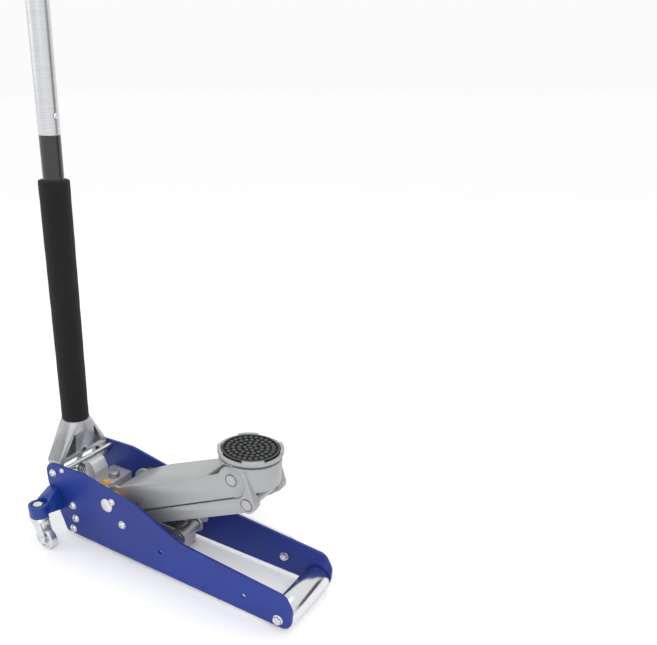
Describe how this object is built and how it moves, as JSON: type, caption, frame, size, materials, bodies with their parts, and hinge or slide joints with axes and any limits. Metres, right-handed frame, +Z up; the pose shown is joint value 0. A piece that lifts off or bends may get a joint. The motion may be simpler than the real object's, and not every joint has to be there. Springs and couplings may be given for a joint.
{
  "type": "hydraulic floor jack",
  "caption": "Low compact floor jack: side plates with a front roller and rear casters, a parallel lift arm with round rubber-padded saddle, and an upright foam-sleeved pump handle.",
  "frame": {"origin": "on the ground, under the middle of the side plates' length and width", "axes": "+Z up along the upright handle, +X towards the front roller, +Y to the side that has the carry handle"},
  "size_m": [0.514, 0.266, 1.1862],
  "materials": {
    "blue_paint": "satin royal blue coating",
    "bright_blue_paint": "gloss blue coating",
    "grey_paint": "satin silver-grey coating",
    "zinc": "bright zinc plate",
    "chrome": "polished",
    "cast_aluminium": "as cast",
    "bright_aluminium": "drawn and polished",
    "black_enamel": "gloss black",
    "foam": "matt closed-cell foam",
    "rubber": "moulded",
    "bronze": "sintered bronze",
    "yellow_plastic": "moulded yellow",
    "black_plastic": "moulded black",
    "spring_steel": "oiled spring steel",
    "cast_steel": "dark grey primer"
  },
  "bodies": {
    "frame": {"right_side_plate": "blue_paint", "left_side_plate": "blue_paint", "front_axle": "zinc", "front_axle_bolts": "zinc", "arm_pivot_shaft": "zinc", "pivot_keepers": "zinc", "link_shoulder_bolts": "zinc", "power_unit": "cast_steel", "power_unit_bolts": "zinc", "ram_gland": "zinc", "filler_plug": "yellow_plastic", "relief_valve_cap": "cast_aluminium", "handle_pivot_bolts": "zinc", "tie_rod": "zinc", "tie_rod_screws": "zinc", "right_caster_bracket": "bright_blue_paint", "left_caster_bracket": "bright_blue_paint", "caster_bracket_bolts": "zinc", "caster_stems": "zinc", "carry_handle": "chrome", "carry_handle_nuts": "zinc"},
    "front_roller": {"front_roller": "chrome", "roller_bushes": "bronze"},
    "lift_arm": {"lift_arm": "grey_paint", "arm_bushes": "bronze", "arm_drive_pins": "zinc", "upper_pivot_pin": "zinc", "upper_pin_clips": "zinc"},
    "link": {"link_channel": "grey_paint"},
    "saddle_bracket": {"saddle_bracket": "grey_paint", "lower_pivot_pin": "zinc", "lower_pin_clips": "zinc"},
    "saddle": {"saddle_cup": "grey_paint", "saddle_pad": "rubber"},
    "ram": {"ram_piston": "chrome", "crosshead": "zinc", "crosshead_pin": "zinc", "drive_links": "zinc", "return_springs": "spring_steel"},
    "pump_plunger": {"pump_plunger": "zinc", "plunger_spring": "spring_steel"},
    "release_valve": {"release_valve": "zinc"},
    "handle_yoke": {"handle_yoke": "cast_aluminium", "pump_roller_pin": "zinc", "handle_lock_screw": "zinc"},
    "pump_roller": {"pump_roller": "zinc"},
    "handle": {"lower_tube": "black_enamel", "release_driver": "zinc", "foam_grip": "foam", "handle_spigot": "bright_aluminium", "upper_tube": "bright_aluminium", "handle_end_cap": "black_plastic"},
    "snap_button": {"snap_button": "zinc"},
    "right_caster_fork": {"right_caster_fork": "zinc", "right_caster_rivet": "zinc"},
    "left_caster_fork": {"left_caster_fork": "zinc", "left_caster_rivet": "zinc"},
    "right_caster_wheel": {"right_caster_wheel": "zinc"},
    "left_caster_wheel": {"left_caster_wheel": "zinc"}
  },
  "joints": [
    {"name": "front_roller_spin", "type": "hinge", "parent": "frame", "child": "front_roller", "pos_m": [0.2315, 0, 0.022], "axis": [0, 1, 0], "continuous": true},
    {"name": "arm_lift", "type": "hinge", "parent": "frame", "child": "lift_arm", "pos_m": [-0.1085, 0, 0.102], "axis": [0, -1, 0], "range_deg": [-38, 19]},
    {"name": "link_swing", "type": "hinge", "parent": "frame", "child": "link", "pos_m": [-0.0765, 0, 0.074], "axis": [0, -1, 0], "range_deg": [-38, 19]},
    {"name": "saddle_level", "type": "hinge", "parent": "lift_arm", "child": "saddle_bracket", "pos_m": [0.12581, 0, 0.21628], "axis": [0, -1, 0], "range_deg": [-19, 38]},
    {"name": "saddle_turn", "type": "hinge", "parent": "saddle_bracket", "child": "saddle", "pos_m": [0.13381, 0, 0.24528], "axis": [0, 0, 1], "continuous": true},
    {"name": "ram_slide", "type": "slide", "parent": "frame", "child": "ram", "axis": [1, 0, 0], "range_m": [-0.0256, 0.0129], "deforming": ["return_springs"]},
    {"name": "pump_stroke", "type": "slide", "parent": "frame", "child": "pump_plunger", "axis": [1, 0, 0], "range_m": [0, 0.0201], "deforming": ["plunger_spring"]},
    {"name": "handle_tilt", "type": "hinge", "parent": "frame", "child": "handle_yoke", "pos_m": [-0.2365, 0, 0.123], "axis": [0, -1, 0], "range_deg": [0, 60]},
    {"name": "pump_roller_spin", "type": "hinge", "parent": "handle_yoke", "child": "pump_roller", "pos_m": [-0.2465, 0, 0.10568], "axis": [0, 1, 0], "continuous": true},
    {"name": "handle_twist", "type": "hinge", "parent": "handle_yoke", "child": "handle", "pos_m": [-0.23425, 0, 0.20897], "axis": [0.0262, 0, 0.9997], "range_deg": [0, 120]},
    {"name": "valve_turn", "type": "hinge", "parent": "frame", "child": "release_valve", "pos_m": [-0.2365, 0, 0.123], "axis": [-1, 0, 0], "range_deg": [0, 120]},
    {"name": "button_press", "type": "slide", "parent": "handle", "child": "snap_button", "axis": [-0.9997, 0, 0.0262], "range_m": [0, 0.0027], "stiffness_N_per_m": 800, "springref_m": -0.001},
    {"name": "right_caster_swivel", "type": "hinge", "parent": "frame", "child": "right_caster_fork", "pos_m": [-0.2285, -0.116, 0.06], "axis": [0, 0, 1], "continuous": true},
    {"name": "left_caster_swivel", "type": "hinge", "parent": "frame", "child": "left_caster_fork", "pos_m": [-0.2285, 0.116, 0.06], "axis": [0, 0, 1], "continuous": true},
    {"name": "right_wheel_roll", "type": "hinge", "parent": "right_caster_fork", "child": "right_caster_wheel", "pos_m": [-0.2165, -0.116, 0.02], "axis": [0, 1, 0], "continuous": true},
    {"name": "left_wheel_roll", "type": "hinge", "parent": "left_caster_fork", "child": "left_caster_wheel", "pos_m": [-0.2165, 0.116, 0.02], "axis": [0, 1, 0], "continuous": true}
  ],
  "couplings": [
    {"joint": "link_swing", "follows": "arm_lift", "ratio": 1},
    {"joint": "saddle_level", "follows": "arm_lift", "ratio": -1},
    {"joint": "ram_slide", "follows": "arm_lift", "m_per_rad": 0.03841},
    {"joint": "pump_stroke", "follows": "handle_tilt", "m_per_rad": 0.019099},
    {"joint": "valve_turn", "follows": "handle_twist", "ratio": 1}
  ]
}
